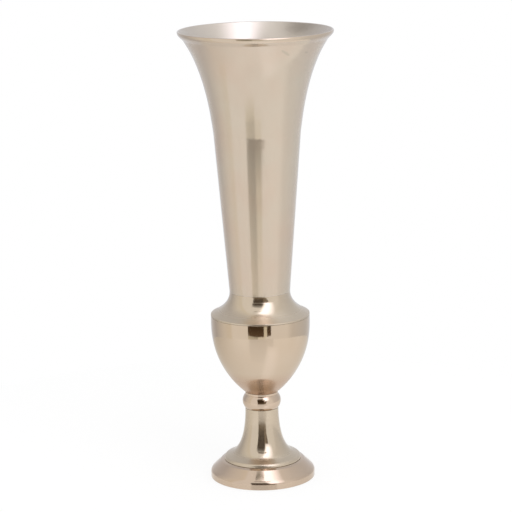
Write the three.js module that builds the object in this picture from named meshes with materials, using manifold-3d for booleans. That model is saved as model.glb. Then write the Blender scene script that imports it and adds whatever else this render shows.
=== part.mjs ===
// A tall trumpet vase in champagne-plated metal.
// A flared trumpet stands in a coved shoulder over an urn bowl, and the bowl stands on a collar,
// a flaring stem and a stepped foot. Every shell is a separate spun or cast piece. One tie rod runs
// up the middle and clamps the whole stack between a nut under the foot and a dome nut in the trumpet.
// Millimetres, +Z up, with the origin on the ground under the vase's axis.
import * as THREE from "three";
import { mergeVertices } from "three/addons/utils/BufferGeometryUtils.js";
import Module from "manifold-3d";

// Smoothness of round shapes
const ROUND_STEPS = 40;
const SMALL_ROUND_STEPS = 24;
const CURVE_STEPS = 6;
const EDGE_STEPS = 3;

// Clearances
const SEAT_GAP = 0.3; // between faces that rest on each other
const FIT_GAP = 0.3; // radial, between a spigot and its socket
const ROD_GAP = 0.5; // radial, between the tie rod and the holes that it passes
const THREAD_GAP = 0.2; // radial, between the tie rod and a nut
const CUT_OVERRUN = 1; // how far a cut runs past the face that it opens
const MERGE_DISTANCE = 0.001; // vertices closer than this are one

// Felt pads under the foot
const PAD_COUNT = 4;
const PAD_RADIUS = 5;
const PAD_THICKNESS = 0.6;

// Foot: a heavy cast ring that slopes from a brow round the skirt to a rounded nose
const FOOT_RADIUS = 70.9;
const FOOT_HEIGHT = 24.6;
const FOOT_TOP_RADIUS = 52.7;
const FOOT_BROW_WIDTH = 4.1; // from the flat top out to the brow
const FOOT_BROW_DROP = 1.6; // how far the top falls over that width
const FOOT_EDGE_HEIGHT = 6.9; // upright edge, up to where the nose starts
const FOOT_NOSE_HEIGHT = 9.6; // where the slope off the brow would meet the upright edge
const FOOT_NOSE_SHARE = 0.25; // share of the slope that the nose's rounding takes up
const FOOT_EDGE_ROUND = 0.5;
const FOOT_FLANGE = 4; // thickness of the inner flange that the base plate pulls on

// Stem: a cast column that flares into a domed skirt
const STEM_HEIGHT = 71.2;
const STEM_TOP_RADIUS = 22.6;
const STEM_WALL = 4;
const STEM_WAIST_HEIGHT = 12.2; // where the column's upright line would meet the skirt's slope
const SKIRT_LEDGE = 0.5; // width of the foot's flat top that shows round the skirt
const SKIRT_RADIUS = FOOT_TOP_RADIUS - SKIRT_LEDGE;
const SKIRT_EDGE = 0.7; // upright edge of the skirt
const SKIRT_DOME_WIDTH = 3.7; // from the skirt's edge in to where the dome turns into the flare
const SKIRT_TOP_RADIUS = SKIRT_RADIUS - SKIRT_DOME_WIDTH;
const SKIRT_TOP_HEIGHT = 5.1;
const SKIRT_CROWN_INSET = 0.6; // from the skirt's edge in to the point that draws the dome up
const SKIRT_CROWN_HEIGHT = 4.2;
const STEM_SEAT_WIDTH = 5.5; // width of the skirt's underside that rests on the foot
const STEM_SPIGOT_RADIUS = SKIRT_RADIUS - STEM_SEAT_WIDTH; // ring that centres the stem in the foot
const STEM_SPIGOT_DEPTH = 3;

// Base plate: the disc under the foot that the tie rod pulls up
const PLATE_LAP = 8.3; // from the stem's ring out to the plate's edge, under the foot's flange
const PLATE_RADIUS = STEM_SPIGOT_RADIUS + PLATE_LAP;
const PLATE_THICKNESS = 3;

// Collar: the turned knop between the stem and the bowl
const COLLAR_END_RADIUS = STEM_TOP_RADIUS;
const COLLAR_SWELL = 3.4; // how far the bead stands out from its ends
const COLLAR_BEAD_HEIGHT = 19;
const COLLAR_NECK_DRAW = 0.3; // how far the neck over the bead draws in
const COLLAR_NECK_RADIUS = COLLAR_END_RADIUS - COLLAR_NECK_DRAW;
const COLLAR_NECK_HEIGHT = 3.2;
const COLLAR_SPIGOT_DEPTH = 5;

// Bowl: a spun cup that swells from a flat seat to its widest ring
const BOWL_RADIUS = 66.8;
const BOWL_SEAT_LEDGE = 0.1; // how far the seat stands out over the collar's neck
const BOWL_SEAT_RADIUS = COLLAR_NECK_RADIUS + BOWL_SEAT_LEDGE;
const BOWL_DEPTH = 97.5; // from the widest ring down to the seat
const BOWL_CORNER_HEIGHT = 38.6; // where the slope off the seat would meet the widest ring's upright line
const BOWL_LIP_DRAW = 0.2; // how far the lip draws in from the widest ring
const BOWL_LIP_RADIUS = BOWL_RADIUS - BOWL_LIP_DRAW;
const BOWL_LIP_HEIGHT = 9.4; // from the widest ring up to the lip
const BOWL_WALL = 2;

// Shoulder: the spun cove between the bowl and the trumpet
const SHOULDER_HEIGHT = 32.4;
const SHOULDER_WALL = 2;
const SHOULDER_EDGE = 1.3; // upright edge over the bowl's lip
const SHOULDER_EDGE_ROUND = 0.9;
const COVE_CORNER_HEIGHT = 14.3; // where the neck's upright line would meet the cove's slope
const SHOULDER_SPIGOT_DEPTH = 8;

// Trumpet: a spun cone that opens into a flared mouth with a hemmed lip
const NECK_RADIUS = 40.8;
const CONE_HEIGHT = 198.6;
const CONE_TOP_RADIUS = 56.7;
const TRUMPET_HEIGHT = 349;
const RIM_RADIUS = 101.9;
const RIM_SLOPE = 0.66; // outward run of the wall for each millimetre up, at the rim
const TRUMPET_WALL = 2;
const HEM_PROUD = 1.2; // how far the hem, folded over outside, stands out from the wall
const HEM_WIDTH = 7; // along the wall, from the rim down to the hem's end
const HEM_RUNOUT = 2.5; // along the wall, from the hem's end to where it has died into the wall
const TRUMPET_SPIGOT_DEPTH = 14;
const TRUMPET_FLOOR = 2.5;

// Tie rod, nuts and washers
const ROD_RADIUS = 4;
const ROD_CHAMFER = 0.8;
const ROD_END = 2; // length that shows past the nut under the foot
const NUT_WALL = 2.5; // metal between the thread and the flats
const NUT_HEIGHT = 6.5;
const NUT_CHAMFER_SLOPE = 0.58; // drop of a nut's corner for each millimetre out
const DOME_HEIGHT = 7.5;
const DOME_BORE_DEPTH = 9;
const WASHER_WIDTH = 4;
const WASHER_THICKNESS = 1.6;
const WIDE_WASHER_WIDTH = 10.5;
const WIDE_WASHER_THICKNESS = 2;
const SEAL_WIDTH = 12.5;
const SEAL_THICKNESS = 3;
const LOCK_WASHER_WIDTH = 2.7;
const LOCK_WASHER_THICKNESS = 2;
const LOCK_WASHER_SPLIT = 1.4;
const LOCK_WASHER_LEAN = 0.35; // radians that the split leans over

// Levels, from the ground up
const footBottom = PAD_THICKNESS;
const footTop = footBottom + FOOT_HEIGHT;
const stemBottom = footTop + SEAT_GAP;
const stemTop = stemBottom + STEM_HEIGHT;
const collarBottom = stemTop + SEAT_GAP;
const beadTop = collarBottom + COLLAR_BEAD_HEIGHT;
const collarSeat = beadTop + COLLAR_NECK_HEIGHT;
const bowlBottom = collarSeat + SEAT_GAP;
const bowlMiddle = bowlBottom + BOWL_DEPTH;
const bowlTop = bowlMiddle + BOWL_LIP_HEIGHT;
const shoulderBottom = bowlTop + SEAT_GAP;
const shoulderTop = shoulderBottom + SHOULDER_HEIGHT;
const trumpetJoint = shoulderTop + SEAT_GAP;
const trumpetBottom = trumpetJoint - TRUMPET_SPIGOT_DEPTH;

const rodHole = ROD_RADIUS + ROD_GAP;
const nutBore = ROD_RADIUS + THREAD_GAP;

const wasm = await Module();
wasm.setup();

const point = (radius, height) => new THREE.Vector2(radius, height);

// A bend from one point to another, drawn towards a corner
function bend(from, corner, to, steps = CURVE_STEPS) {
  return new THREE.QuadraticBezierCurve(from, corner, to).getPoints(steps);
}

// A quarter-round edge about a centre, between two angles
function roundEdge(centre, radius, fromAngle, toAngle) {
  return new THREE.EllipseCurve(centre.x, centre.y, radius, radius, fromAngle, toAngle).getPoints(EDGE_STEPS);
}

// An open line moved by a wall's thickness to its left, which is inwards for a line that runs up
function inset(line, wall) {
  return line.map((here, i) => {
    const before = line[Math.max(i - 1, 0)];
    const after = line[Math.min(i + 1, line.length - 1)];
    const along = after.clone().sub(before).normalize();
    return point(here.x - along.y * wall, here.y + along.x * wall);
  });
}

// An outline of (radius, height) points turned about the upright axis.
// It runs anticlockwise and closes on itself, unless it starts and ends on the axis.
function spin(outline, steps = ROUND_STEPS) {
  const onAxis = outline[0].x === 0;
  const closed = onAxis ? outline : [...outline, outline[0]];
  return new THREE.LatheGeometry(closed, steps).rotateX(Math.PI / 2);
}

// A flat ring, such as a washer
function ring(inner, outer, bottom, height, steps = SMALL_ROUND_STEPS) {
  const top = bottom + height;
  return spin([point(inner, bottom), point(outer, bottom), point(outer, top), point(inner, top)], steps);
}

// A closed geometry as a solid that can be joined and cut, and back
function solidOf(geometry) {
  const bare = geometry.clone();
  bare.deleteAttribute("normal");
  bare.deleteAttribute("uv");
  const merged = mergeVertices(bare, MERGE_DISTANCE);
  const vertProperties = merged.attributes.position.array;
  const triVerts = new Uint32Array(merged.index.array);
  return new wasm.Manifold(new wasm.Mesh({ numProp: 3, vertProperties, triVerts }));
}

function geometryOf(solid) {
  const mesh = solid.getMesh();
  const geometry = new THREE.BufferGeometry();
  geometry.setAttribute("position", new THREE.BufferAttribute(mesh.vertProperties, 3));
  geometry.setIndex(new THREE.BufferAttribute(mesh.triVerts, 1));
  geometry.computeVertexNormals();
  return geometry;
}

// Foot
function makeFoot() {
  const bore = PLATE_RADIUS + FIT_GAP;
  const socket = STEM_SPIGOT_RADIUS + FIT_GAP;
  const flangeBottom = footTop - FOOT_FLANGE;
  const edgeCentre = point(FOOT_RADIUS - FOOT_EDGE_ROUND, footBottom + FOOT_EDGE_ROUND);
  const brow = point(FOOT_TOP_RADIUS + FOOT_BROW_WIDTH, footTop - FOOT_BROW_DROP);
  const corner = point(FOOT_RADIUS, footBottom + FOOT_NOSE_HEIGHT);
  const nose = bend(
    point(FOOT_RADIUS, footBottom + FOOT_EDGE_HEIGHT),
    corner,
    corner.clone().lerp(brow, FOOT_NOSE_SHARE),
  );
  return spin([
    point(bore, footBottom),
    ...roundEdge(edgeCentre, FOOT_EDGE_ROUND, -Math.PI / 2, 0),
    ...nose,
    brow,
    point(FOOT_TOP_RADIUS, footTop),
    point(socket, footTop),
    point(socket, flangeBottom),
    point(bore, flangeBottom),
  ]);
}

function makePad() {
  const pad = new THREE.CylinderGeometry(PAD_RADIUS, PAD_RADIUS, PAD_THICKNESS, SMALL_ROUND_STEPS);
  return pad.rotateX(Math.PI / 2).translate(0, 0, PAD_THICKNESS / 2);
}

// Stem
function makeStem() {
  const spigotBore = STEM_SPIGOT_RADIUS - STEM_WALL;
  const spigotBottom = stemBottom - STEM_SPIGOT_DEPTH;
  const skirtTop = point(SKIRT_TOP_RADIUS, stemBottom + SKIRT_TOP_HEIGHT);
  const dome = bend(
    point(SKIRT_RADIUS, stemBottom + SKIRT_EDGE),
    point(SKIRT_RADIUS - SKIRT_CROWN_INSET, stemBottom + SKIRT_CROWN_HEIGHT),
    skirtTop,
  );
  const column = bend(
    skirtTop,
    point(STEM_TOP_RADIUS, stemBottom + STEM_WAIST_HEIGHT),
    point(STEM_TOP_RADIUS, stemTop),
  );
  const outside = [...dome, ...column.slice(1)];
  const inside = inset(outside, STEM_WALL).filter((p) => p.x < spigotBore);
  return spin([
    point(spigotBore, spigotBottom),
    point(STEM_SPIGOT_RADIUS, spigotBottom),
    point(STEM_SPIGOT_RADIUS, stemBottom),
    point(SKIRT_RADIUS, stemBottom),
    ...outside,
    ...inside.reverse(),
    point(spigotBore, stemBottom),
  ]);
}

// Collar
function makeCollar() {
  const spigot = STEM_TOP_RADIUS - STEM_WALL - FIT_GAP;
  const spigotBottom = collarBottom - COLLAR_SPIGOT_DEPTH;
  // The bead is one arc, so its radius follows from its height and how far it swells.
  const halfBead = COLLAR_BEAD_HEIGHT / 2;
  const beadArc = (halfBead ** 2 + COLLAR_SWELL ** 2) / (2 * COLLAR_SWELL);
  const reach = Math.asin(halfBead / beadArc);
  const beadCentre = point(COLLAR_END_RADIUS + COLLAR_SWELL - beadArc, collarBottom + halfBead);
  const bead = new THREE.EllipseCurve(beadCentre.x, beadCentre.y, beadArc, beadArc, -reach, reach);
  return spin([
    point(rodHole, spigotBottom),
    point(spigot, spigotBottom),
    point(spigot, collarBottom),
    ...bead.getPoints(CURVE_STEPS),
    point(COLLAR_NECK_RADIUS, beadTop + COLLAR_NECK_DRAW),
    point(COLLAR_NECK_RADIUS, collarSeat),
    point(rodHole, collarSeat),
  ]);
}

// Bowl
function makeBowl() {
  const widest = point(BOWL_RADIUS, bowlMiddle);
  const belly = bend(
    point(BOWL_SEAT_RADIUS, bowlBottom),
    point(BOWL_RADIUS, bowlBottom + BOWL_CORNER_HEIGHT),
    widest,
    2 * CURVE_STEPS,
  );
  const lip = bend(
    widest,
    point(BOWL_RADIUS, bowlMiddle + BOWL_LIP_HEIGHT / 2),
    point(BOWL_LIP_RADIUS, bowlTop),
    EDGE_STEPS,
  );
  const outside = [...belly, ...lip.slice(1)];
  const floorTop = bowlBottom + BOWL_WALL;
  const inside = inset(outside, BOWL_WALL).filter((p) => p.y > floorTop);
  return spin([
    point(rodHole, bowlBottom),
    ...outside,
    point(BOWL_LIP_RADIUS - BOWL_WALL, bowlTop),
    ...inside.slice(0, -1).reverse(),
    point(BOWL_SEAT_RADIUS, floorTop),
    point(rodHole, floorTop),
  ]);
}

// Shoulder
function makeShoulder() {
  const spigot = BOWL_LIP_RADIUS - BOWL_WALL - FIT_GAP;
  const spigotBore = spigot - SHOULDER_WALL;
  const spigotBottom = shoulderBottom - SHOULDER_SPIGOT_DEPTH;
  const edgeTop = shoulderBottom + SHOULDER_EDGE;
  const cove = bend(
    point(BOWL_LIP_RADIUS - SHOULDER_EDGE_ROUND, edgeTop + SHOULDER_EDGE_ROUND),
    point(NECK_RADIUS, shoulderBottom + COVE_CORNER_HEIGHT),
    point(NECK_RADIUS, shoulderTop),
  );
  const inside = inset(cove, SHOULDER_WALL).filter((p) => p.x < spigotBore && p.y < shoulderTop);
  return spin([
    point(spigotBore, spigotBottom),
    point(spigot, spigotBottom),
    point(spigot, shoulderBottom),
    point(BOWL_LIP_RADIUS, shoulderBottom),
    ...roundEdge(point(BOWL_LIP_RADIUS - SHOULDER_EDGE_ROUND, edgeTop), SHOULDER_EDGE_ROUND, 0, Math.PI / 2),
    ...cove.slice(1),
    point(NECK_RADIUS - SHOULDER_WALL, shoulderTop),
    ...inside.reverse(),
  ]);
}

// Trumpet
function makeTrumpet() {
  const spigot = NECK_RADIUS - SHOULDER_WALL - FIT_GAP;
  const spigotBore = spigot - TRUMPET_WALL;
  const floorTop = trumpetBottom + TRUMPET_FLOOR;
  const coneTop = trumpetJoint + CONE_HEIGHT;
  const rim = point(RIM_RADIUS, trumpetJoint + TRUMPET_HEIGHT);
  const upwards = point(RIM_SLOPE, 1).normalize();
  const outwards = point(upwards.y, -upwards.x);
  const wallEnd = rim.clone().addScaledVector(upwards, -HEM_WIDTH - HEM_RUNOUT);
  // The flare leaves the cone along its slope and reaches the hem at the rim's slope.
  const coneSlope = (CONE_TOP_RADIUS - NECK_RADIUS) / CONE_HEIGHT;
  const flareRise = wallEnd.y - coneTop;
  const flareRun = wallEnd.x - CONE_TOP_RADIUS;
  const cornerRise = (RIM_SLOPE * flareRise - flareRun) / (RIM_SLOPE - coneSlope);
  const flare = bend(
    point(CONE_TOP_RADIUS, coneTop),
    point(CONE_TOP_RADIUS + coneSlope * cornerRise, coneTop + cornerRise),
    wallEnd,
  );
  const outside = [point(NECK_RADIUS, trumpetJoint), ...flare];
  const inside = inset([...outside, rim], TRUMPET_WALL);
  // The wall is folded over outside, and the fold is the lip.
  const hemEnd = rim.clone().addScaledVector(upwards, -HEM_WIDTH).addScaledVector(outwards, HEM_PROUD);
  const lipRadius = (TRUMPET_WALL + HEM_PROUD) / 2;
  const lipCentre = rim.clone().addScaledVector(outwards, HEM_PROUD - lipRadius);
  const lipStart = Math.atan2(outwards.y, outwards.x);
  const lip = new THREE.EllipseCurve(
    lipCentre.x, lipCentre.y, lipRadius, lipRadius, lipStart, lipStart + Math.PI,
  );
  // Above the joint the inside steps in to the spigot.
  const stepTop = trumpetJoint + 2 * TRUMPET_WALL;
  const coneBore = NECK_RADIUS - TRUMPET_WALL + coneSlope * (stepTop - trumpetJoint);
  return spin([
    point(rodHole, trumpetBottom),
    point(spigot, trumpetBottom),
    point(spigot, trumpetJoint),
    ...outside,
    hemEnd,
    ...lip.getPoints(4 * EDGE_STEPS).slice(0, -1),
    ...inside.slice(1).reverse(),
    point(coneBore, stepTop),
    point(spigotBore, trumpetJoint + TRUMPET_WALL),
    point(spigotBore, floorTop),
    point(rodHole, floorTop),
  ]);
}

// Hardware
function makeRod(bottom, top) {
  return spin(
    [
      point(0, bottom),
      point(ROD_RADIUS - ROD_CHAMFER, bottom),
      point(ROD_RADIUS, bottom + ROD_CHAMFER),
      point(ROD_RADIUS, top - ROD_CHAMFER),
      point(ROD_RADIUS - ROD_CHAMFER, top),
      point(0, top),
    ],
    SMALL_ROUND_STEPS,
  );
}

// A hexagonal nut's body with its corners turned off, at the top or at both ends
function hexBody(bottom, bothEnds) {
  const inradius = ROD_RADIUS + NUT_WALL;
  const corner = inradius / Math.cos(Math.PI / 6);
  const cornerAt = (turn) => point(corner * Math.cos(turn), corner * Math.sin(turn));
  const hexagon = new THREE.Shape(Array.from({ length: 6 }, (_, i) => cornerAt((i * Math.PI) / 3)));
  const prism = new THREE.ExtrudeGeometry(hexagon, { depth: NUT_HEIGHT, bevelEnabled: false });
  prism.translate(0, 0, bottom);
  const drop = (corner - inradius) * NUT_CHAMFER_SLOPE;
  const top = bottom + NUT_HEIGHT;
  const lower = bothEnds ? [point(inradius, bottom), point(corner, bottom + drop)] : [point(corner, bottom)];
  const turned = spin(
    [point(0, bottom), ...lower, point(corner, top - drop), point(inradius, top), point(0, top)],
    SMALL_ROUND_STEPS,
  );
  return solidOf(prism).intersect(solidOf(turned));
}

function makeNut(bottom) {
  const bore = spin(
    [
      point(0, bottom - CUT_OVERRUN),
      point(nutBore, bottom - CUT_OVERRUN),
      point(nutBore, bottom + NUT_HEIGHT + CUT_OVERRUN),
      point(0, bottom + NUT_HEIGHT + CUT_OVERRUN),
    ],
    SMALL_ROUND_STEPS,
  );
  return geometryOf(hexBody(bottom, true).subtract(solidOf(bore)));
}

function makeDomeNut(bottom) {
  const domeBase = bottom + NUT_HEIGHT;
  const domeRadius = ROD_RADIUS + NUT_WALL;
  const quarter = new THREE.EllipseCurve(0, domeBase, domeRadius, DOME_HEIGHT, 0, Math.PI / 2);
  const dome = [...quarter.getPoints(CURVE_STEPS).slice(0, -1), point(0, domeBase + DOME_HEIGHT)];
  // The dome's root goes into the hexagon, so that the two join.
  const root = domeBase - NUT_HEIGHT / 2;
  const cap = spin([point(0, root), point(domeRadius, root), ...dome], SMALL_ROUND_STEPS);
  const bore = spin(
    [
      point(0, bottom - CUT_OVERRUN),
      point(nutBore, bottom - CUT_OVERRUN),
      point(nutBore, bottom + DOME_BORE_DEPTH),
      point(0, bottom + DOME_BORE_DEPTH),
    ],
    SMALL_ROUND_STEPS,
  );
  return geometryOf(hexBody(bottom, false).add(solidOf(cap)).subtract(solidOf(bore)));
}

// A spring washer: a ring that a leaning cut splits
function makeLockWasher(bottom) {
  const outer = rodHole + LOCK_WASHER_WIDTH;
  const whole = ring(rodHole, outer, bottom, LOCK_WASHER_THICKNESS);
  const split = new THREE.BoxGeometry(outer, LOCK_WASHER_SPLIT, 2 * LOCK_WASHER_THICKNESS)
    .rotateX(LOCK_WASHER_LEAN)
    .translate(rodHole + outer / 2 - CUT_OVERRUN, 0, bottom + LOCK_WASHER_THICKNESS / 2);
  return geometryOf(solidOf(whole).subtract(solidOf(split)));
}

// Finishes
const metal = (color, roughness) => new THREE.MeshStandardMaterial({ color, roughness, metalness: 1 });
const satinChampagne = metal(0xcfc0a9, 0.3);
const brightChampagne = metal(0xcdb49a, 0.15);
const zincSteel = metal(0xb9bbbd, 0.4);
const blackRubber = new THREE.MeshStandardMaterial({ color: 0x222222, roughness: 0.9, metalness: 0 });
const greyFelt = new THREE.MeshStandardMaterial({ color: 0x4a4744, roughness: 1, metalness: 0 });

// Assembly
const vase = new THREE.Group();

function addPart(name, geometry, material) {
  const mesh = new THREE.Mesh(geometry, material);
  mesh.name = name;
  vase.add(mesh);
  return mesh;
}

addPart("trumpet", makeTrumpet(), satinChampagne);
addPart("shoulder", makeShoulder(), brightChampagne);
addPart("bowl", makeBowl(), brightChampagne);
addPart("collar", makeCollar(), brightChampagne);
addPart("stem", makeStem(), brightChampagne);
addPart("foot", makeFoot(), brightChampagne);

// Clamp in the trumpet: a rubber seal, a wide washer and the dome nut
const sealBottom = trumpetBottom + TRUMPET_FLOOR + SEAT_GAP;
const topWasherBottom = sealBottom + SEAL_THICKNESS + SEAT_GAP;
const topNutBottom = topWasherBottom + WIDE_WASHER_THICKNESS + SEAT_GAP;
addPart("top_seal", ring(rodHole, rodHole + SEAL_WIDTH, sealBottom, SEAL_THICKNESS), blackRubber);
addPart(
  "top_washer",
  ring(rodHole, rodHole + WIDE_WASHER_WIDTH, topWasherBottom, WIDE_WASHER_THICKNESS),
  zincSteel,
);
addPart("top_dome_nut", makeDomeNut(topNutBottom), zincSteel);

// Clamp in the bowl, which holds the bowl, collar, stem and foot together before the trumpet goes on
const bowlWasherBottom = bowlBottom + BOWL_WALL + SEAT_GAP;
const bowlNutBottom = bowlWasherBottom + WASHER_THICKNESS + SEAT_GAP;
addPart("bowl_washer", ring(rodHole, rodHole + WASHER_WIDTH, bowlWasherBottom, WASHER_THICKNESS), zincSteel);
addPart("bowl_nut", makeNut(bowlNutBottom), zincSteel);

// Clamp under the foot: the base plate, a washer, a spring washer and a nut
const plateBottom = footTop - FOOT_FLANGE - SEAT_GAP - PLATE_THICKNESS;
const baseWasherBottom = plateBottom - SEAT_GAP - WASHER_THICKNESS;
const lockWasherBottom = baseWasherBottom - SEAT_GAP - LOCK_WASHER_THICKNESS;
const baseNutBottom = lockWasherBottom - SEAT_GAP - NUT_HEIGHT;
addPart("base_plate", ring(rodHole, PLATE_RADIUS, plateBottom, PLATE_THICKNESS, ROUND_STEPS), zincSteel);
addPart("base_washer", ring(rodHole, rodHole + WASHER_WIDTH, baseWasherBottom, WASHER_THICKNESS), zincSteel);
addPart("lock_washer", makeLockWasher(lockWasherBottom), zincSteel);
addPart("base_nut", makeNut(baseNutBottom), zincSteel);

const rodTop = topNutBottom + DOME_BORE_DEPTH - SEAT_GAP;
addPart("tie_rod", makeRod(baseNutBottom - ROD_END, rodTop), zincSteel);

// Felt pads, spread evenly round the flat underside of the foot
const padCircle = (PLATE_RADIUS + FIT_GAP + FOOT_RADIUS - FOOT_EDGE_ROUND) / 2;
for (let i = 0; i < PAD_COUNT; i += 1) {
  const angle = ((i + 0.5) * 2 * Math.PI) / PAD_COUNT;
  const pad = addPart(`felt_pad_${i + 1}`, makePad(), greyFelt);
  pad.position.set(padCircle * Math.cos(angle), padCircle * Math.sin(angle), 0);
}

export default vase;
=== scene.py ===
"""A tall trumpet vase in champagne-plated metal, dressed for a studio picture.

Each turned piece is spun again from the outline of its own solid in the frame, with finer steps, softened
edges and the slight unevenness of hand polishing. Lengths are in metres, +Z is up, and the origin is on the
ground under the vase's axis.
"""
import math

import bmesh
import bpy
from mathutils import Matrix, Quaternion, Vector, noise


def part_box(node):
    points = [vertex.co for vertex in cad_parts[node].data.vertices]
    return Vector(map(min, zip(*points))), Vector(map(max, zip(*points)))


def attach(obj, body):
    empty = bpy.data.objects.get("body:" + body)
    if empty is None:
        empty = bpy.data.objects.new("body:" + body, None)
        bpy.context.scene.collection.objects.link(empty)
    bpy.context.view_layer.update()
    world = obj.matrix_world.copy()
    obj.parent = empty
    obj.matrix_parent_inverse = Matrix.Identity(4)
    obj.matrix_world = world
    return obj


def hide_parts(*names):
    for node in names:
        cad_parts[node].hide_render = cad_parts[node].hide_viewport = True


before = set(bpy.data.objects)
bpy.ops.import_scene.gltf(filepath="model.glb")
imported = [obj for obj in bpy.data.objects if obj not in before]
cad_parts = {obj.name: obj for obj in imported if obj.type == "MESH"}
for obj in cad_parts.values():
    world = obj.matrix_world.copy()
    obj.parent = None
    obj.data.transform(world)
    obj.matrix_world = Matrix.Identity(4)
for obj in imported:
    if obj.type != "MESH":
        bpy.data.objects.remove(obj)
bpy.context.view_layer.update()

MM = 0.001
BODY = "root"
CLOSE_DIGITS = 7  # of a measure in metres that count
CLOSE = 10 ** -CLOSE_DIGITS  # points this close are one

# Fineness of the spun pieces
SPIN_STEPS = 160
SMALL_SPIN_STEPS = 72
CURVE_TURN = math.radians(3)  # turn between neighbouring points of a curve
LONGEST_STEP = 10 * MM
CREASE_TURN = math.radians(36)  # an outline that turns more than this at a point has an edge there
BROW_TURN = math.radians(15)  # the same for the foot, whose brow is a slight edge
STRAIGHT_RATIO = 3  # a stretch this much longer than the next is straight, and the next leaves along it
EDGE_ROUND = 0.25 * MM
SEAM_ROUND = 0.05 * MM  # on the edges of the tight seam between the shoulder and the trumpet
SEAM_LIFT = 0.29 * MM  # how far the shoulder's top rises to close that seam
EDGE_SUPPORT = 0.5 * MM  # from a rounded edge to the ring that keeps the face beside it flat
EDGE_SHARE = 0.4  # the most of a stretch that a rounded edge takes
FILLET_STEPS = 3

# Unevenness left by polishing
WOBBLE_DEPTH = 0.05 * MM
WOBBLE_LENGTH = 34 * MM
TRUMPET_WOBBLE_DEPTH = 0.1 * MM
TRUMPET_WOBBLE_LENGTH = 24 * MM

# Faint crease where the trumpet's flare leaves its cone
CREASE_RISE = 17 * MM  # from the end of the straight cone up to the crease
CREASE_REACH = 17 * MM  # how far the wall draws in to it, below and above
CREASE_DEPTH = 0.26 * MM
CREASE_STEP = 1.5 * MM

# Hem folded over the trumpet's rim
HEM_LEAST = 4 * MM  # the hem's face is longer than this, and the stretches that round its top are shorter
HEM_BELLY = 3 * MM  # how far below the brim the hem bulges most
HEM_HEIGHT = 6 * MM  # of the brighter polish on it
HEM_EASE = 3 * MM  # how far its foot runs out further down the wall

# Which of the trumpet's faces are bare silver
INSIDE_FACING = -0.1  # those that look outwards less than this
FLOOR_FACING = 0.7  # and those of the floor, which look up more than this

# Ring that the polishing wheel has left round the shoulder
RING_DROP = 7.2 * MM  # from the shoulder's top
RING_REACH = 0.8 * MM
RING_DEPTH = 0.15 * MM
RING_STEP = 0.2 * MM

# Hardware and pads
THREAD_PITCH = 1.25 * MM
THREAD_DEPTH = 0.7 * MM
THREAD_ROWS = 6  # rows of points in a turn
THREAD_STEPS = 24
COUNTERSINK = 0.6 * MM
NUT_CHAMFER_SLOPE = 0.58
DOME_STEPS = 12
SHARP_TURN = math.radians(28)  # faces that meet at more than this keep a sharp edge
SPLIT_WIDTH = 1.4 * MM  # of the spring washer's split
SPLIT_LEAN = math.tan(0.35)
SEAL_ROUND = 0.6 * MM
PAD_ROUND = 0.35 * MM
PAD_RAGGED = 0.02  # share of a pad's radius by which its edge frays
PAD_FRAY_LENGTH = 1.5 * MM

# Finish of the metal
TINT_SIZE = 60 * MM  # of the blotches of its two tints
POLISH_SIZE = 22 * MM  # of the blotches in its polish
SCRATCH_SIZE = 3 * MM
BUMP_DEPTH = 0.1 * MM
LOW_ROUGHNESS = 0.3  # of the softer polish low on the bowl and the shoulder
SKIRT_ROUGHNESS = 0.28  # of the softer polish on the stem's skirt
BOWL_LOW = (141 * MM, 156 * MM)  # the height up to which that polish holds, and where it has gone
COVE_LOW = (233 * MM, 246 * MM)  # the same on the shoulder
SKIRT_LOW = (34 * MM, 41 * MM)  # and on the stem's skirt
SCUFF_WIDTH = 0.8 * MM
SCUFFS = (
    ((0.033, -0.086, 0.593), (0.043, -0.0765, 0.585)),
    ((0.063, -0.063, 0.5875), (0.067, -0.0575, 0.586)),
)  # start and end of the two that show on the flare

# Grain of the rubber and the felt
RUBBER_BLOTCH = 4 * MM
RUBBER_GRAIN = 0.5 * MM
FELT_BLOTCH = 1.2 * MM
FELT_FUZZ = 0.35 * MM
FELT_FUZZ_DEPTH = 0.2 * MM

# Studio
SKY_LIGHT = 0.8  # the white world as a light
SKY_SEEN = 1.0  # and where it is seen
TABLE_RADIUS = 0.62
TABLE_STEPS = 128
TABLE_WHITE = 0.95
TABLE_GLOW = 0.85  # share of an even white where it is seen; the rest takes the shadow
TABLE_SHADE_WAY = (-0.5, 1, 0)  # the way in which its painted shade, as the metal shows it, grows darker
TABLE_SHADE_START = -0.2  # where that starts and ends
TABLE_SHADE_END = 0.55
SCREEN_RADIUS = 2.4
SCREEN_CENTRE = 0.2  # height of the middle of the round screens
SCREEN_STEP = 6  # degrees
SCREEN_FOOT = -50  # degrees up, as the next four
SCREEN_LOW = 15
SCREEN_MIDDLE = 45
CEILING_START = 68
CEILING_END = 89
CEILING_LEVEL = 0.85  # how bright the ceiling is at its end
GAP_Y = -2.16  # the dark gap between the screens, in front
GAP_EDGE_STEP = 0.01  # by which its paler right edge stands nearer
GAP_DARK = (0.06, 0.04, 0.022, 1)  # its linear shades, from the darkest
GAP_DIM = (0.09, 0.06, 0.03, 1)
GAP_BROWN = (0.1, 0.075, 0.05, 1)
GAP_TAN = (0.25, 0.2, 0.145, 1)

# Camera
CAMERA_DISTANCE = 2.75775
CAMERA_HEIGHT = 0.91738
CAMERA_DROP = math.radians(12.485)  # how far it looks down
CAMERA_TURN = math.radians(0.09)  # to the left, so that the vase stands right of the middle
CAMERA_ROLL = math.radians(-1.02)
SENSOR = 36
PICTURE = 512  # pixels over the sensor
EYE_PIXELS = 2107  # from the eye to a picture of that size
LENS = SENSOR * EYE_PIXELS / PICTURE


# Outlines

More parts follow.
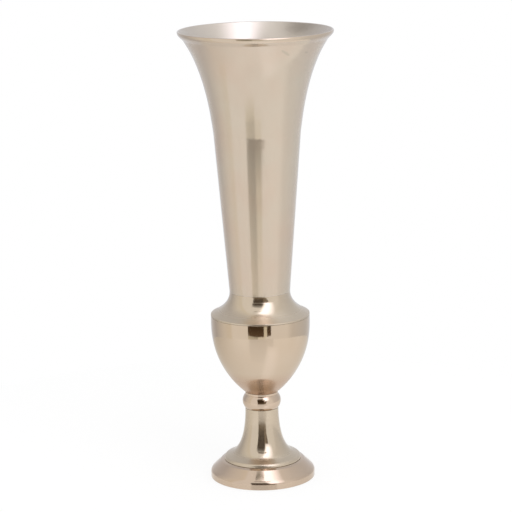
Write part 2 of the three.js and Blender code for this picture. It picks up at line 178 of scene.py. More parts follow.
def outline_of(node):
    """A turned node's outline as (radius, height) points, anticlockwise, and whether it is closed."""
    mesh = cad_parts[node].data
    spots = {}
    for vertex in mesh.vertices:
        x, y, z = vertex.co
        if abs(x) < CLOSE and y < CLOSE:
            spots[vertex.index] = (round(-y, CLOSE_DIGITS) + 0.0, round(z, CLOSE_DIGITS))
    links = {}
    for edge in mesh.edges:
        ends = [spots.get(i) for i in edge.vertices]
        if None not in ends and ends[0] != ends[1]:
            links.setdefault(ends[0], set()).add(ends[1])
            links.setdefault(ends[1], set()).add(ends[0])
    loose = [spot for spot in links if len(links[spot]) == 1]
    path = [min(loose or links, key=lambda spot: (spot[1], spot[0]))]
    while True:
        ahead = sorted(spot for spot in links[path[-1]] if spot not in path)
        if not ahead:
            break
        path.append(ahead[-1])
    points = [Vector(spot) for spot in path]
    if not loose and signed_area(points) < 0:
        points.reverse()
    return points, not loose


def signed_area(points):
    """The area inside an outline, above 0 where it runs anticlockwise."""
    pairs = zip(points, points[1:] + points[:1])
    return sum(a.x * b.y - b.x * a.y for a, b in pairs) / 2


def soften(points, closed, edge_round=EDGE_ROUND, crease_turn=CREASE_TURN):
    """The outline with its curves filled in and its edges rounded."""
    count = len(points)
    stretches = count if closed else count - 1
    chords = [points[(i + 1) % count] - points[i] for i in range(stretches)]
    lengths = [chord.length for chord in chords]
    ways = [chord.normalized() for chord in chords]
    tangents = [None] * count
    trims = [0.0] * count
    for i in range(count):
        if not closed and i in (0, count - 1):
            continue
        before, after = (i - 1) % count, i
        if ways[before].angle(ways[after]) > crease_turn:
            trims[i] = min(edge_round, EDGE_SHARE * lengths[before], EDGE_SHARE * lengths[after])
        elif lengths[before] > STRAIGHT_RATIO * lengths[after]:
            tangents[i] = ways[before]
        elif lengths[after] > STRAIGHT_RATIO * lengths[before]:
            tangents[i] = ways[after]
        else:
            mixed = ways[after] * lengths[before] + ways[before] * lengths[after]
            tangents[i] = mixed.normalized()
    softened = []
    pieces = [stretch_points(points, tangents, trims, i, lengths[i], ways[i]) for i in range(stretches)]
    for i in range(stretches):
        softened += pieces[i]
        corner = (i + 1) % count
        if trims[corner] > 0:
            softened += fillet(pieces[i][-1], points[corner], pieces[(i + 1) % stretches][0])
        elif closed or i < stretches - 1:
            softened.pop()
    return softened


def stretch_points(points, tangents, trims, i, length, way):
    """Points along the stretch that follows point i, with both of its ends."""
    j = (i + 1) % len(points)
    leave = tangents[i]
    arrive = tangents[j]
    if leave is None:
        leave = mirrored(arrive, way) if arrive else way
    if arrive is None:
        arrive = mirrored(leave, way)
    turn = leave.angle(way) + way.angle(arrive)
    steps = max(1, math.ceil(turn / CURVE_TURN), math.ceil(length / LONGEST_STEP))
    shares = {k / steps for k in range(steps + 1)}
    if trims[i] > 0:
        shares = held_back(shares, trims[i] / length, EDGE_SUPPORT / length)
    if trims[j] > 0:
        back = held_back({1 - s for s in shares}, trims[j] / length, EDGE_SUPPORT / length)
        shares = {1 - s for s in back}
    return [hermite(points[i], points[j], leave * length, arrive * length, s) for s in sorted(shares)]


def mirrored(tangent, way):
    """The tangent at the other end of a round stretch that runs along way."""
    return (way * (2 * way.dot(tangent)) - tangent).normalized()


def held_back(shares, trim, support):
    """The shares past a rounded edge at 0, with one at the edge's end and one that supports the face."""
    kept = {s for s in shares if s > trim + support}
    return kept | {trim, min(trim + support, (trim + 1) / 2)} | {1.0}


def hermite(start, end, leave, arrive, s):
    """The point at share s of a curve that leaves its start and arrives at its end along two tangents."""
    rest = 1 - s
    blend = s * s * (3 - 2 * s)
    return start * (1 - blend) + end * blend + leave * (s * rest * rest) - arrive * (s * s * rest)


def fillet(start, corner, end):
    """Points between two ends of a rounded edge."""
    inner = []
    for k in range(1, FILLET_STEPS):
        s = k / FILLET_STEPS
        inner.append(start * (1 - s) ** 2 + corner * (2 * s * (1 - s)) + end * s ** 2)
    return inner


def creased(outline, height, reach, depth, step):
    """The closed outline with a faint crease at a height, drawn in from both sides."""
    finer = []
    for here, there in zip(outline, outline[1:] + outline[:1]):
        low, high = sorted((here.y, there.y))
        near = low < height + reach and high > height - reach
        steps = math.ceil((there - here).length / step) if near else 1
        finer += [here.lerp(there, k / steps) for k in range(steps)]
    for spot in finer:
        share = max(0.0, 1 - abs(spot.y - height) / reach)
        spot.x -= depth * share ** 2
    return finer


# Meshes

def lathe_mesh(name, columns, closed_round=True, closed_outline=True):
    """An object from columns of points, each an outline at one angle, with its faces pointing out."""
    mesh = bpy.data.meshes.new(name)
    rows = len(columns[0])
    vertices = [point for column in columns for point in column]
    faces = []
    for k in range(len(columns) if closed_round else len(columns) - 1):
        here = k * rows
        there = (k + 1) % len(columns) * rows
        for i in range(rows if closed_outline else rows - 1):
            j = (i + 1) % rows
            faces.append((here + i, there + i, there + j, here + j))
    if not closed_round:
        last = (len(columns) - 1) * rows
        faces.append(tuple(range(rows)))
        faces.append(tuple(reversed(range(last, last + rows))))
    mesh.from_pydata(vertices, [], faces)
    work = bmesh.new()
    work.from_mesh(mesh)
    bmesh.ops.remove_doubles(work, verts=work.verts, dist=CLOSE)
    work.to_mesh(mesh)
    work.free()
    mesh.shade_smooth()
    made = bpy.data.objects.new(name, mesh)
    bpy.context.scene.collection.objects.link(made)
    return made


def round_point(radius, height, angle):
    return (radius * math.cos(angle), radius * math.sin(angle), height)


def angles_of(steps):
    return [2 * math.pi * k / steps for k in range(steps)]


def spin(name, outline, closed, steps):
    """An object from an outline turned round the axis."""
    columns = [[round_point(p.x, p.y, angle) for p in outline] for angle in angles_of(steps)]
    return lathe_mesh(name, columns, closed_outline=closed)


def wobble(made, depth=WOBBLE_DEPTH, length=WOBBLE_LENGTH):
    """Dents a piece inwards by a slow noise, as hand polishing leaves it."""
    normals = [vertex.normal.copy() for vertex in made.data.vertices]
    for vertex, normal in zip(made.data.vertices, normals):
        level = 0.5 + 0.5 * noise.noise(vertex.co / length)
        vertex.co -= normal * (depth * max(0.0, min(1.0, level)))
    made.data.update()


def stand_in(made, node, *materials):
    """Puts a finished piece in a node's place."""
    for material in materials:
        made.data.materials.append(material)
    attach(made, BODY)
    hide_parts(node)
    return made


def turned(
    node, material, steps=SPIN_STEPS, edge_round=EDGE_ROUND, depth=WOBBLE_DEPTH, crease_turn=CREASE_TURN,
):
    """A turned piece in a node's place."""
    points, closed = outline_of(node)
    made = spin(f"{node}_fine", soften(points, closed, edge_round, crease_turn), closed, steps)
    if depth:
        wobble(made, depth)
    return stand_in(made, node, material)


# Materials

def add(tree, kind, inputs=None, **settings):
    """A new node, with its settings, and its inputs as values or as other nodes' outputs."""
    node = tree.nodes.new(kind)
    for key, value in settings.items():
        setattr(node, key, value)
    for key, value in (inputs or {}).items():
        if isinstance(value, bpy.types.NodeSocket):
            tree.links.new(value, node.inputs[key])
        else:
            node.inputs[key].default_value = value
    return node


def blank_material(name):
    """A new material, its empty tree and the place in the object that is shaded."""
    material = bpy.data.materials.new(name)
    material.use_nodes = True
    tree = material.node_tree
    tree.nodes.clear()
    place = add(tree, "ShaderNodeTexCoord").outputs["Object"]
    return material, tree, place


def cloud(tree, place, size, detail=3, roughness=0.5):
    """A noise whose blotches are about size metres across, from 0 to 1."""
    inputs = {"Vector": place, "Scale": 1 / size, "Detail": detail, "Roughness": roughness}
    return add(tree, "ShaderNodeTexNoise", inputs).outputs["Fac"]


def spread(tree, value, low, high, from_low=0.3, from_high=0.7):
    """A noise's middle range stretched over low to high."""
    inputs = {"Value": value, "From Min": from_low, "From Max": from_high, "To Min": low, "To Max": high}
    return add(tree, "ShaderNodeMapRange", inputs).outputs["Result"]


def mix_colours(tree, share, first, second):
    """The first colour at share 0, the second at 1, through the sockets that a Mix node has for colours."""
    factor, a_colour, b_colour, result = 0, 6, 7, 2
    inputs = {factor: share, a_colour: first, b_colour: second}
    return add(tree, "ShaderNodeMix", inputs, data_type="RGBA").outputs[result]


def rings(tree, place, pitch):
    """The fine rings that spinning leaves round the axis, from 0 to 1."""
    flat = add(tree, "ShaderNodeVectorMath", {0: place, 1: (1, 1, 0)}, operation="MULTIPLY")
    radius = add(tree, "ShaderNodeVectorMath", {0: flat.outputs[0]}, operation="LENGTH").outputs["Value"]
    height = add(tree, "ShaderNodeSeparateXYZ", {0: place}).outputs["Z"]
    along = add(tree, "ShaderNodeCombineXYZ", {"X": radius, "Y": height}).outputs[0]
    return cloud(tree, along, pitch, detail=2)


def colour(red, green, blue):
    """An sRGB colour given as 0 to 255, as the linear values that nodes take."""
    def linear(level):
        share = level / 255
        return share / 12.92 if share <= 0.04045 else ((share + 0.055) / 1.055) ** 2.4
    return (linear(red), linear(green), linear(blue), 1)


def along_scuff(tree, place, start, end):
    """1 on the line between two places, and 0 past its narrow oval."""
    ways = []
    for spot in (start, end):
        way = add(tree, "ShaderNodeVectorMath", {0: place, 1: spot}, operation="DISTANCE")
        ways.append(way.outputs["Value"])
    both = add(tree, "ShaderNodeMath", {0: ways[0], 1: ways[1]}, operation="ADD").outputs[0]
    length = (Vector(end) - Vector(start)).length
    return spread(tree, both, 1, 0, length, length + SCUFF_WIDTH)


def metal(
    name, tint, blush, shine, dull,
    ring_pitch=2 * MM, ring_strength=0.012, scratch_strength=0.012, mirror=1.0, low=None, scuffs=(),
):
    """Plated metal: two close tints, uneven polish, spinning rings and fine scratches.

    Shine and dull are its least and greatest roughness.
    Mirror is the share of the surface that mirrors; the rest is the haze of a soft polish.
    Low is a roughness and a tint, the height up to which they hold, and the height at which they have gone.
    A low tint that differs from the metal's own is a painted reflection.
    Scuffs are the (start, end) of longer, darker scratches.
    """
    material, tree, place = blank_material(name)
    tints = spread(tree, cloud(tree, place, TINT_SIZE, detail=4), 0, 1)
    base = mix_colours(tree, tints, tint, blush)
    polish = spread(tree, cloud(tree, place, POLISH_SIZE, detail=5), shine, dull)
    for start, end in scuffs:
        base = mix_colours(tree, along_scuff(tree, place, start, end), base, SCUFF_TINT)
    if low:
        roughness, painted_low_tint, bottom, top = low
        height = add(tree, "ShaderNodeSeparateXYZ", {0: place}).outputs["Z"]
        lower = spread(tree, height, roughness, 0, bottom, top)
        polish = add(tree, "ShaderNodeMath", {0: polish, 1: lower}, operation="MAXIMUM").outputs[0]
        # Painted reflection: where the low tint differs from the metal's own, it darkens and reddens the
        # metal low down
        base = mix_colours(tree, spread(tree, height, 1, 0, bottom, top), base, painted_low_tint)
    ring_bump = add(tree, "ShaderNodeBump", {
        "Height": rings(tree, place, ring_pitch), "Strength": ring_strength, "Distance": BUMP_DEPTH,
    })
    scratch_bump = add(tree, "ShaderNodeBump", {
        "Height": cloud(tree, place, SCRATCH_SIZE, detail=6, roughness=0.7),
        "Strength": scratch_strength, "Distance": BUMP_DEPTH, "Normal": ring_bump.outputs[0],
    })
    shader = add(tree, "ShaderNodeBsdfPrincipled", {
        "Base Color": base, "Metallic": mirror, "Roughness": polish, "Normal": scratch_bump.outputs[0],
    })
    add(tree, "ShaderNodeOutputMaterial", {"Surface": shader.outputs[0]})
    return material


def rubber():
    """Black rubber with a fine grain."""
    material, tree, place = blank_material("seal_rubber")
    base = mix_colours(tree, cloud(tree, place, RUBBER_BLOTCH), colour(28, 28, 29), colour(48, 47, 46))
    grain = add(tree, "ShaderNodeBump", {
        "Height": cloud(tree, place, RUBBER_GRAIN), "Strength": 0.3, "Distance": BUMP_DEPTH,
    })
    shader = add(tree, "ShaderNodeBsdfPrincipled", {
        "Base Color": base, "Roughness": 0.75, "Normal": grain.outputs[0],
    })
    add(tree, "ShaderNodeOutputMaterial", {"Surface": shader.outputs[0]})
    return material


def felt():
    """Dark grey felt with a fuzz."""
    material, tree, place = blank_material("pad_felt")
    blotches = cloud(tree, place, FELT_BLOTCH, detail=6)
    base = mix_colours(tree, blotches, colour(52, 49, 47), colour(88, 84, 80))
    fuzz = add(tree, "ShaderNodeBump", {
        "Height": cloud(tree, place, FELT_FUZZ, detail=6, roughness=0.75),
        "Strength": 0.8, "Distance": FELT_FUZZ_DEPTH,
    })
    shader = add(tree, "ShaderNodeBsdfPrincipled", {
        "Base Color": base, "Roughness": 0.95, "Sheen Weight": 0.3, "Normal": fuzz.outputs[0],
    })
    add(tree, "ShaderNodeOutputMaterial", {"Surface": shader.outputs[0]})
    return material


SCUFF_TINT = colour(193, 181, 163)
satin = metal(
    "champagne_satin", colour(207, 195, 177), colour(208, 189, 170), shine=0.09, dull=0.16,
    ring_pitch=1.5 * MM, ring_strength=0.02, scratch_strength=0.02, mirror=0.64, scuffs=SCUFFS,
)
hem_bright = metal(
    "champagne_hem", colour(207, 192, 173), colour(206, 187, 167), shine=0.06, dull=0.12, mirror=0.93,
)
collar_bright = metal(
    "champagne_collar", colour(209, 189, 169), colour(205, 183, 162), shine=0.05, dull=0.1,
    ring_strength=0.01, scratch_strength=0.01,
)
# Its darker, redder low tint is a painted reflection of the collar and stem below the bowl
bowl_bright = metal(
    "champagne_bowl", colour(206, 188, 167), colour(204, 184, 161), shine=0.05, dull=0.1,
    ring_strength=0.01, scratch_strength=0.01,
    low=(LOW_ROUGHNESS, colour(199, 174, 152), *BOWL_LOW),
)
soft_bright = metal(
    "champagne_soft", colour(202, 187, 166), colour(200, 183, 161), shine=0.07, dull=0.14, mirror=0.92,
    low=(SKIRT_ROUGHNESS, colour(202, 187, 166), *SKIRT_LOW),
)
cove_bright = metal(
    "champagne_cove", colour(205, 190, 169), colour(203, 186, 164), shine=0.1, dull=0.17, mirror=0.95,
    low=(LOW_ROUGHNESS, colour(205, 190, 169), *COVE_LOW),
)
rosy = metal(
    "champagne_rosy", colour(203, 183, 163), colour(199, 178, 157), shine=0.05, dull=0.1, mirror=0.93,
)
silver = metal(
    "bare_silver", colour(208, 199, 188), colour(203, 193, 182), shine=0.27, dull=0.34,
    ring_pitch=1.2 * MM, ring_strength=0.015, scratch_strength=0.006, mirror=0.85,
)
steel = metal(
    "zinc_steel", colour(190, 194, 198), colour(176, 176, 172), shine=0.25, dull=0.42,
    ring_pitch=0.8 * MM, ring_strength=0.05, scratch_strength=0.1,
)
black_rubber = rubber()
grey_felt = felt()


# Pieces that show

def rounded_hem(points):
    """The trumpet's outline with its hem rounded out and eased into the wall."""
    brim = max(range(len(points)), key=lambda k: points[k].x)
    top = brim
    while (points[top] - points[top - 1]).length < HEM_LEAST:
        top -= 1
    wall, foot, hem = points[top - 3:top]
    eased = foot + (wall - foot).normalized() * HEM_EASE
    belly = points[brim] - Vector((0, HEM_BELLY))
    return points[:top - 2] + [eased, hem] + fillet(hem, belly, points[brim]) + points[brim:]


def make_trumpet(node):
    """The trumpet, with a faint crease over its cone and bare silver inside."""
    points, closed = outline_of(node)
    cone_top = max(zip(points, points[1:]), key=lambda ends: ends[1].y - ends[0].y)[1].y
    smooth = soften(rounded_hem(points), closed, SEAM_ROUND)
    outline = creased(smooth, cone_top + CREASE_RISE, CREASE_REACH, CREASE_DEPTH, CREASE_STEP)
    made = spin(f"{node}_fine", outline, closed, SPIN_STEPS)
    wobble(made, TRUMPET_WOBBLE_DEPTH, TRUMPET_WOBBLE_LENGTH)
    stand_in(made, node, satin, silver, hem_bright)
    silver_index, hem_index = 1, 2
    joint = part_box("shoulder")[1].z
    hem_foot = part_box(node)[1].z - HEM_HEIGHT
    for face in made.data.polygons:
        outwards = Vector((face.center.x, face.center.y, 0)).normalized().dot(face.normal)
        if outwards < INSIDE_FACING or (face.normal.z > FLOOR_FACING and face.center.z < joint):
            face.material_index = silver_index
        elif face.center.z > hem_foot:
            face.material_index = hem_index


def make_shoulder(node):
    """The shoulder, with its top raised to close the seam under the trumpet and a faint ring round it."""
    points, closed = outline_of(node)
    top = max(p.y for p in points)
    for p in points:
        if p.y == top:
            p.y += SEAM_LIFT
    smooth = soften(points, closed, SEAM_ROUND)
    outline = creased(smooth, top - RING_DROP, RING_REACH, RING_DEPTH, RING_STEP)
    made = spin(f"{node}_fine", outline, closed, SPIN_STEPS)
    wobble(made)
    stand_in(made, node, cove_bright)


make_trumpet("trumpet")
make_shoulder("shoulder")
turned("bowl", bowl_bright)
turned("collar", collar_bright)
turned("stem", soft_bright)
turned("foot", rosy, crease_turn=BROW_TURN)


# Hardware

def hex_radius(inradius, angle):
    """The radius of a hexagon with a corner at angle 0."""
    return inradius / math.cos(angle % (math.pi / 3) - math.pi / 6)


def nut_sizes(node):
    """Bottom, top, half the width over flats, and bore radius."""
    low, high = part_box(node)
    return low.z, high.z, high.y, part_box("tie_rod")[1].x


def make_nut(node):
    """A hexagon nut with its corners turned off and its bore countersunk."""
    bottom, top, inradius, bore = nut_sizes(node)
    columns = []
    for angle in angles_of(SMALL_SPIN_STEPS):
        outer = hex_radius(inradius, angle)
        drop = (outer - inradius) * NUT_CHAMFER_SLOPE
        outline = [
            (bore, bottom + COUNTERSINK), (bore + COUNTERSINK, bottom), (inradius, bottom),
            (outer, bottom + drop), (outer, top - drop), (inradius, top),
            (bore + COUNTERSINK, top), (bore, top - COUNTERSINK),
        ]
        columns.append([round_point(radius, height, angle) for radius, height in outline])
    finish_hardware(lathe_mesh(f"{node}_fine", columns), node)


def make_dome_nut(node):
    """A closed nut: a hexagon as high as the plain nut under a dome."""
    bottom, top, inradius, bore = nut_sizes(node)
    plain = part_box("base_nut")
    hex_top = bottom + plain[1].z - plain[0].z
    columns = []
    for angle in angles_of(SMALL_SPIN_STEPS):
        outer = hex_radius(inradius, angle)
        drop = (outer - inradius) * NUT_CHAMFER_SLOPE
        outline = [
            (0, hex_top), (bore, hex_top), (bore, bottom + COUNTERSINK), (bore + COUNTERSINK, bottom),
            (outer, bottom), (outer, hex_top - drop),
        ]
        for k in range(DOME_STEPS + 1):
            lift = math.pi / 2 * k / DOME_STEPS
            outline.append((inradius * math.cos(lift), hex_top + (top - hex_top) * math.sin(lift)))
        columns.append([round_point(radius, height, angle) for radius, height in outline])
    finish_hardware(lathe_mesh(f"{node}_fine", columns, closed_outline=False), node)


def finish_hardware(made, node):
    """Puts a piece of hardware in a node's place, with sharp edges."""
    made.data.set_sharp_from_angle(angle=SHARP_TURN)
    stand_in(made, node, steel)


def make_lock_washer(node):
    """A spring washer: a ring with a leaning split."""
    points, closed = outline_of(node)
    outline = soften(points, closed)
    low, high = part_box(node)
    middle = (low.z + high.z) / 2
    columns = []
    for k in range(SMALL_SPIN_STEPS + 1):
        column = []
        for p in outline:
            gap = SPLIT_WIDTH / 2 / p.x
            angle = gap + (2 * math.pi - 2 * gap) * k / SMALL_SPIN_STEPS
            angle += SPLIT_LEAN * (p.y - middle) / p.x
            column.append(round_point(p.x, p.y, angle))
        columns.append(column)
    made = lathe_mesh(f"{node}_fine", columns, closed_round=False)
    finish_hardware(made, node)


def make_rod(node):
    """A rod with a screw thread from end to end and turned-off ends."""
    low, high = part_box(node)
    radius = high.x
    rows = math.ceil((high.z - low.z) / THREAD_PITCH * THREAD_ROWS)
    columns = []
    for angle in angles_of(THREAD_STEPS):
        column = [(0, 0, low.z)]
        for k in range(rows + 1):
            height = low.z + (high.z - low.z) * k / rows
            phase = (height / THREAD_PITCH - angle / (2 * math.pi)) % 1
            groove = THREAD_DEPTH * abs(2 * phase - 1)
            from_end = min(height - low.z, high.z - height)
            limit = radius - THREAD_DEPTH + from_end
            column.append(round_point(min(radius - groove, limit), height, angle))
        column.append((0, 0, high.z))
        columns.append(column)
    made = lathe_mesh(f"{node}_fine", columns, closed_outline=False)
    finish_hardware(made, node)


def make_pad(node):
    """A felt disc with a soft, slightly ragged edge."""
    low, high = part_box(node)
    centre = (low + high) / 2
    radius = (high.x - low.x) / 2
    corners = [Vector(p) for p in ((0, low.z), (radius, low.z), (radius, high.z), (0, high.z))]
    made = spin(f"{node}_fine", soften(corners, False, PAD_ROUND), False, SMALL_SPIN_STEPS)
    for vertex in made.data.vertices:
        ragged = 1 - PAD_RAGGED + PAD_RAGGED * noise.noise(vertex.co / PAD_FRAY_LENGTH)
        vertex.co = (centre.x + vertex.co.x * ragged, centre.y + vertex.co.y * ragged, vertex.co.z)
    stand_in(made, node, grey_felt)


for node in ("top_washer", "bowl_washer", "base_washer", "base_plate"):
    turned(node, steel, SMALL_SPIN_STEPS, depth=0)
turned("top_seal", black_rubber, SMALL_SPIN_STEPS, edge_round=SEAL_ROUND, depth=0)
make_nut("base_nut")
make_nut("bowl_nut")
make_dome_nut("top_dome_nut")
make_lock_washer("lock_washer")
make_rod("tie_rod")
for node in sorted(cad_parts):
    if node.startswith("felt_pad"):
        make_pad(node)


# Studio

def light_path(tree):
    """1 where the camera looks, straight or in a mirror or through glass, and 0 elsewhere."""
    rays = add(tree, "ShaderNodeLightPath").outputs
    seen = rays["Is Camera Ray"]
    for kind in ("Is Glossy Ray", "Is Transmission Ray"):
        seen = add(tree, "ShaderNodeMath", {0: seen, 1: rays[kind]}, operation="MAXIMUM").outputs[0]
    return seen


def make_world():
    """White where it is seen, and softer as a light."""
    world = bpy.data.worlds.new("white_studio")
    bpy.context.scene.world = world
    world.use_nodes = True
    tree = world.node_tree
    tree.nodes.clear()
    strength = spread(tree, light_path(tree), SKY_LIGHT, SKY_SEEN, 0, 1)
    sky = add(tree, "ShaderNodeBackground", {"Color": (1, 1, 1, 1), "Strength": strength})
    add(tree, "ShaderNodeOutputWorld", {"Surface": sky.outputs[0]})


def stage_object(name, points, faces, material):
    """An object of the studio."""
    mesh = bpy.data.meshes.new(name)
    mesh.from_pydata(points, [], faces)
    mesh.materials.append(material)
    made = bpy.data.objects.new(name, mesh)
    bpy.context.scene.collection.objects.link(made)
    return made


def make_table():
    """A round white table top that keeps the vase's soft shadow.

    In the metal it is glossy, with a painted shade that darkens it towards the back and the left.
    """
    material, tree, place = blank_material("table_white")
    matt = add(tree, "ShaderNodeBsdfDiffuse", {"Color": grey(TABLE_WHITE)})
    glow = add(tree, "ShaderNodeEmission", {"Color": (1, 1, 1, 1), "Strength": 1.0})
    share = spread(tree, light_path(tree), 0, TABLE_GLOW, 0, 1)
    plain = add(tree, "ShaderNodeMixShader", {0: share, 1: matt.outputs[0], 2: glow.outputs[0]})
    # Painted shade: as the metal shows it, the table darkens towards the back and the left
    away = add(tree, "ShaderNodeVectorMath", {0: place, 1: TABLE_SHADE_WAY}, operation="DOT_PRODUCT")
    far = spread(tree, away.outputs["Value"], 0, 1, TABLE_SHADE_START, TABLE_SHADE_END)
    shade = mix_colours(tree, far, grey(1.0), grey(0.68, red=1.02, blue=0.94))
    gloss = add(tree, "ShaderNodeBsdfPrincipled", {
        "Base Color": (0, 0, 0, 1), "Emission Color": shade, "Emission Strength": 1.0,
        "Coat Weight": 0.88, "Coat Roughness": 0.1, "Coat IOR": 1.7,
    })
    mirrored_ray = add(tree, "ShaderNodeLightPath").outputs["Is Glossy Ray"]
    both = add(tree, "ShaderNodeMixShader", {0: mirrored_ray, 1: plain.outputs[0], 2: gloss.outputs[0]})
    add(tree, "ShaderNodeOutputMaterial", {"Surface": both.outputs[0]})
    edge = [round_point(TABLE_RADIUS, 0, angle) for angle in angles_of(TABLE_STEPS)]
    stage_object("table", edge, [tuple(range(TABLE_STEPS))], material)


def grey(value, red=1.0, blue=1.0):
    """A linear grey whose red and blue are scaled."""
    return (value * red, value, value * blue, 1)


def amber(value):
    """A warm grey."""
    return grey(value, red=1.03, blue=0.86)


def ramp(tree, value, stops):
    """The shade at a value, from (value, shade) stops in rising order."""
    low, high = stops[0][0], stops[-1][0]
    node = add(tree, "ShaderNodeValToRGB", {"Fac": spread(tree, value, 0, 1, low, high)})
    marks = node.color_ramp.elements
    marks[0].color = stops[0][1]
    marks[1].color = stops[-1][1]
    for stop, shade in stops[1:-1]:
        marks.new((stop - low) / (high - low)).color = shade
    return node.outputs["Color"]


def height_ramp(tree, place, stops):
    """The shade at a place, from (height, shade) stops, from the bottom up."""
    height = add(tree, "ShaderNodeSeparateXYZ", {0: place}).outputs["Z"]
    return ramp(tree, height, stops)


def card(name, points, faces, shade_at):
    """A screen or flag that only shows in the metal; shade_at gives its shade from a tree and a place."""
    material, tree, place = blank_material(name)
    glow = add(tree, "ShaderNodeEmission", {"Color": shade_at(tree, place), "Strength": 1.0})
    add(tree, "ShaderNodeOutputMaterial", {"Surface": glow.outputs[0]})
    made = stage_object(name, points, faces, material)
    made.visible_camera = False
    made.visible_diffuse = False
    made.visible_shadow = False


def flag(name, bottom, top, y, *stops):
    """An upright card that faces the vase from the front.

    Bottom and top are the (left, right) ends of its two edges.
    The stops are its (height, shade), from the bottom up.
    """
    low, high = stops[0][0], stops[-1][0]
    corners = [(bottom[0], y, low), (bottom[1], y, low), (top[1], y, high), (top[0], y, high)]
    card(name, corners, [(0, 1, 2, 3)], lambda tree, place: height_ramp(tree, place, stops))


def screen(name, start, end, first, last):
    """A piece of the round screen between two azimuths, all in degrees.

    First and last are its (elevation, shade) stops at its two ends, with the same elevations.
    Azimuth 0 is towards the camera and 90 is to the right.
    """
    def spot(azimuth, elevation):
        turn, lift = math.radians(azimuth), math.radians(elevation)
        level = SCREEN_RADIUS * math.cos(lift)
        height = SCREEN_CENTRE + SCREEN_RADIUS * math.sin(lift)
        return (level * math.sin(turn), -level * math.cos(turn), height)

    def at_heights(stops):
        return [(spot(0, elevation)[2], shade) for elevation, shade in stops]

    def shade_at(tree, place):
        axes = add(tree, "ShaderNodeSeparateXYZ", {0: place}).outputs
        forward = add(tree, "ShaderNodeMath", {0: 0.0, 1: axes["Y"]}, operation="SUBTRACT").outputs[0]
        turn = add(tree, "ShaderNodeMath", {0: axes["X"], 1: forward}, operation="ARCTAN2").outputs[0]
        share = spread(tree, turn, 0, 1, math.radians(start), math.radians(end))
        ends = [height_ramp(tree, place, at_heights(stops)) for stops in (first, last)]
        return mix_colours(tree, share, *ends)

    low, high = first[0][0], first[-1][0]
    across = math.ceil((end - start) / SCREEN_STEP)
    up = math.ceil((high - low) / SCREEN_STEP)
    points = []
    faces = []
    for i in range(across + 1):
        for j in range(up + 1):
            points.append(spot(start + (end - start) * i / across, low + (high - low) * j / up))
            if i < across and j < up:
                corner = i * (up + 1) + j
                faces.append((corner, corner + up + 1, corner + up + 2, corner + 1))
    card(name, points, faces, shade_at)


def softbox(name, width, height, location, target, power):
    """A lamp that lights the vase but doesn't show in the metal."""
    data = bpy.data.lights.new(name, "AREA")
    data.shape = "RECTANGLE"
    data.size = width
    data.size_y = height
    data.energy = power
    made = bpy.data.objects.new(name, data)
    made.location = location
    made.rotation_mode = "QUATERNION"
    made.rotation_quaternion = (Vector(target) - Vector(location)).to_track_quat("-Z", "Y")
    made.visible_glossy = False
    bpy.context.scene.collection.objects.link(made)


def softbox_face(name, location, target, across_stops, up_stops, edge, middle):
    """A softbox as the metal shows it, with soft edges.

    The stops are (distance from its location, share of its glow), from the left and from the bottom.
    """
    centre = Vector(location)
    ahead = (Vector(target) - centre).normalized()
    across = ahead.cross(Vector((0, 0, 1))).normalized()
    up = across.cross(ahead)

    def shade_at(tree, place):
        inside = add(tree, "ShaderNodeVectorMath", {0: place, 1: centre}, operation="SUBTRACT").outputs[0]
        glows = []
        for axis, stops in ((across, across_stops), (up, up_stops)):
            along = add(tree, "ShaderNodeVectorMath", {0: inside, 1: axis}, operation="DOT_PRODUCT")
            shades = [(stop, grey(share)) for stop, share in stops]
            glows.append(ramp(tree, along.outputs["Value"], shades))
        glow = add(tree, "ShaderNodeMath", {0: glows[0], 1: glows[1]}, operation="MULTIPLY").outputs[0]
        return mix_colours(tree, glow, edge, middle)

    left, right = across_stops[0][0], across_stops[-1][0]
    bottom, top = up_stops[0][0], up_stops[-1][0]
    places = ((left, bottom), (right, bottom), (right, top), (left, top))
    corners = [centre + across * i + up * j for i, j in places]
    card(name, corners, [(0, 1, 2, 3)], shade_at)


def make_camera():
    """The camera, higher than the rim, which looks down at the vase's middle."""
    data = bpy.data.cameras.new("camera")
    data.sensor_width = SENSOR
    data.lens = LENS
    made = bpy.data.objects.new("camera", data)
    made.location = (0, -CAMERA_DISTANCE, CAMERA_HEIGHT)
    level = math.cos(CAMERA_DROP)
    ahead = Vector((-math.sin(CAMERA_TURN) * level, math.cos(CAMERA_TURN) * level, -math.sin(CAMERA_DROP)))
    made.rotation_mode = "QUATERNION"
    made.rotation_quaternion = ahead.to_track_quat("-Z", "Y") @ Quaternion((0, 0, 1), CAMERA_ROLL)
    bpy.context.scene.collection.objects.link(made)
    bpy.context.scene.camera = made


def make_screens():
    """The darker sides, back and ceiling round the table, as the metal shows them."""
    def post(azimuth, low, middle, high, red=1.0, blue=1.0):
        """The screens' shades at an azimuth: near the table, half-way up and at the ceiling's edge."""
        levels = (
            (SCREEN_FOOT, low), (SCREEN_LOW, low), (SCREEN_MIDDLE, middle),
            (CEILING_START, high), (CEILING_END, CEILING_LEVEL),
        )
        return azimuth, [(elevation, grey(level, red, blue)) for elevation, level in levels]

    back = {"low": 0.84, "middle": 0.64, "high": 0.84, "red": 0.97, "blue": 1.08}
    left = (
        post(-180, **back),
        post(-125, low=0.59, middle=0.66, high=0.64, red=0.99, blue=1.05),
        post(-92, low=0.86, middle=0.9, high=0.8, red=1.01, blue=0.97),
        post(-73, low=0.88, middle=0.9, high=0.9, red=1.03, blue=0.92),
        post(-67, low=1.0, middle=1.0, high=0.95),
    )
    right = (
        post(63, low=1.0, middle=1.0, high=1.0),
        post(79, low=0.82, middle=0.86, high=1.0),
        post(125, low=0.73, middle=0.8, high=1.0, red=0.97, blue=1.05),
        post(180, **back),
    )
    for side, posts in (("left", left), ("right", right)):
        for number, ((start, first), (end, last)) in enumerate(zip(posts, posts[1:]), 1):
            screen(f"{side}_{number}", start, end, first, last)
    front_start, front_first = left[-1]
    front_end, front_last = right[0]
    screen("ceiling_front", front_start, front_end, front_first[-2:], front_last[-2:])


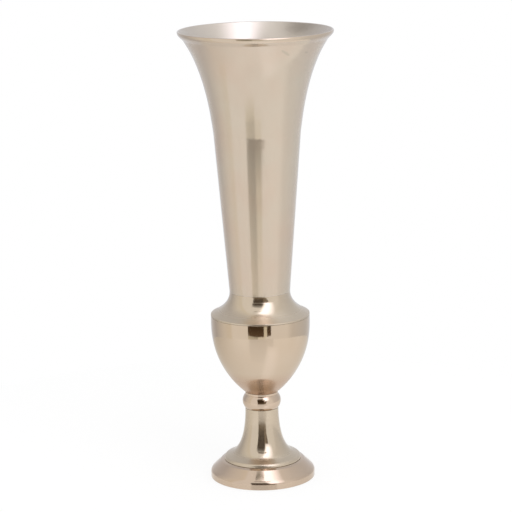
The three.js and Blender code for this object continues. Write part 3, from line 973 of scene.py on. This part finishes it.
def make_gap():
    """The dark gap between the screens, where the camera stands; it is paler low down."""
    start, waist, chest, top = -0.25, 0.5, 1.5, 2.6
    waist_ends, chest_ends = (-1.02, 1.2), (-1.22, 1.3)
    flag(
        "gap", (-0.95, 0.7), waist_ends, GAP_Y,
        (start, GAP_DIM), (-0.21, GAP_DIM), (-0.16, GAP_TAN), (0.1, GAP_BROWN), (waist, GAP_DARK),
    )
    flag("gap_middle", waist_ends, chest_ends, GAP_Y, (waist, GAP_DARK), (chest, GAP_DARK))
    flag("gap_top", chest_ends, (-1.25, 1.3), GAP_Y, (chest, GAP_DARK), (top, grey(0.55)))
    flag("gap_edge", (0.45, 0.95), (0.45, 1.1), GAP_Y + GAP_EDGE_STEP, (-0.18, GAP_TAN), (1.0, GAP_TAN))
    left_end, middle, right_end = -1.2, -0.22, 0.42
    left_levels = ((-0.7, 0.78), (-0.56, 0.58), (-0.48, 0.42), (-0.36, 0.3), (-0.31, 0.26))
    right_levels = ((-0.48, 0.86), (-0.36, 0.72), (-0.31, 0.55))
    lower_parts = (
        ("gap_foot", (left_end, middle), -1.1, left_levels),
        ("gap_side", (middle, right_end), -0.7, right_levels),
    )
    for name, ends, bottom, levels in lower_parts:
        shades = [(height, amber(level)) for height, level in levels]
        flag(name, ends, ends, GAP_Y, (bottom, grey(1.0)), *shades, (start, GAP_DIM))


def make_bar():
    """A slanted bar over the front, which shows on the foot."""
    left, right, y = -0.21, 0.03, -0.33
    left_low, left_high, right_low, right_high = 0.975, 1.066, 0.914, 0.995

    def shade_at(tree, place):
        across = add(tree, "ShaderNodeSeparateXYZ", {0: place}).outputs["X"]
        return ramp(tree, across, ((left, amber(0.11)), (right, amber(0.58))))

    corners = [(left, y, left_low), (right, y, right_low), (right, y, right_high), (left, y, left_high)]
    card("bar", corners, [(0, 1, 2, 3)], shade_at)


def make_mouth_shade_flag():
    """A dark flag over the mouth, which paints shade into the silver inside it."""
    x, near, far, low, high = -0.05, 0.045, 0.128, 0.686, 0.735
    # the painted shade that the silver inside the mouth shows
    shade = (0.06, 0.045, 0.03, 1)
    corners = [(x, near, low), (x, far, low), (x, far, high), (x, near, high)]
    card("mouth_shade_flag", corners, [(0, 1, 2, 3)], lambda tree, place: shade)


def make_bowl_flags():
    """A dark flag and a narrower strip close to the bowl, with a pale slot between them."""
    low, high, y = 0.183, 0.211, -0.15
    flag_left, slot_left, slot_right, strip_right = -0.0645, 0.016, 0.031, 0.052
    low_brown, high_brown = (0.14, 0.095, 0.06, 1), (0.065, 0.04, 0.02, 1)
    brown = ((low, low_brown), (high, high_brown))
    pale = ((low, amber(0.9)), (high, amber(0.8)))
    parts = (
        ("bowl_flag", (flag_left, slot_left), brown),
        ("bowl_slot", (slot_left, slot_right), pale),
        ("bowl_strip", (slot_right, strip_right), brown),
    )
    for name, ends, stops in parts:
        flag(name, ends, ends, y, *stops)


def make_lamps():
    """A tall softbox at the right, with its face as the metal shows it, and a soft one overhead."""
    key_place = {"location": (0.468, -0.811, 1.29), "target": (0, 0, 0.25)}
    softbox("key", width=0.68, height=1.55, power=6.2, **key_place)
    softbox_face(
        "key_face",
        across_stops=((-0.42, 0), (-0.2, 1), (0.08, 1), (0.6, 0)),
        up_stops=((-0.9, 0.25), (-0.6, 1), (0.7, 1), (1.15, 0)),
        edge=grey(0.97), middle=grey(2.45, blue=1.15), **key_place,
    )
    softbox("overhead", width=1.2, height=1.2, location=(0, -0.1, 2.2), target=(0, 0, 0), power=10)


make_world()
make_table()
make_screens()
make_gap()
make_bar()
make_mouth_shade_flag()
make_bowl_flags()
make_lamps()
make_camera()
bpy.context.scene.view_settings.view_transform = "Standard"
